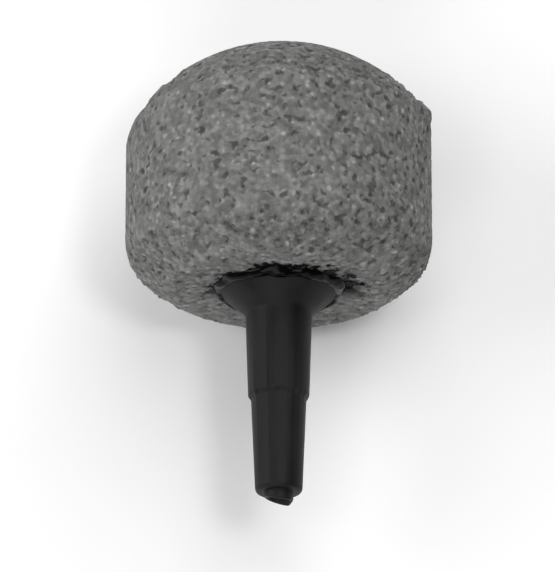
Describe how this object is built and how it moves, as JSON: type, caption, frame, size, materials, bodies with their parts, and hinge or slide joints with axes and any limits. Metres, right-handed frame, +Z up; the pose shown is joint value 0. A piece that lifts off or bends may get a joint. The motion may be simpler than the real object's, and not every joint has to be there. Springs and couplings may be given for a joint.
{
  "type": "air stone",
  "caption": "Cylindrical air stone of bonded grit with a domed end and a black hose connector that steps down to fit two hose sizes.",
  "frame": {"origin": "on the ground under the middle of the whole length, with the stone lying on its belt", "axes": "+Y along the level turning axis, from the hose end of the connector to the stone's domed end; +Z up; +X to the right for someone who looks along +Y"},
  "size_m": [0.03, 0.0466, 0.0299],
  "materials": {
    "bonded_grit": "matte",
    "black_plastic": "satin",
    "black_glue": "gloss"
  },
  "bodies": {
    "root": {"stone_body": "bonded_grit", "hose_connector": "black_plastic", "glue_bond": "black_glue"}
  },
  "joints": []
}
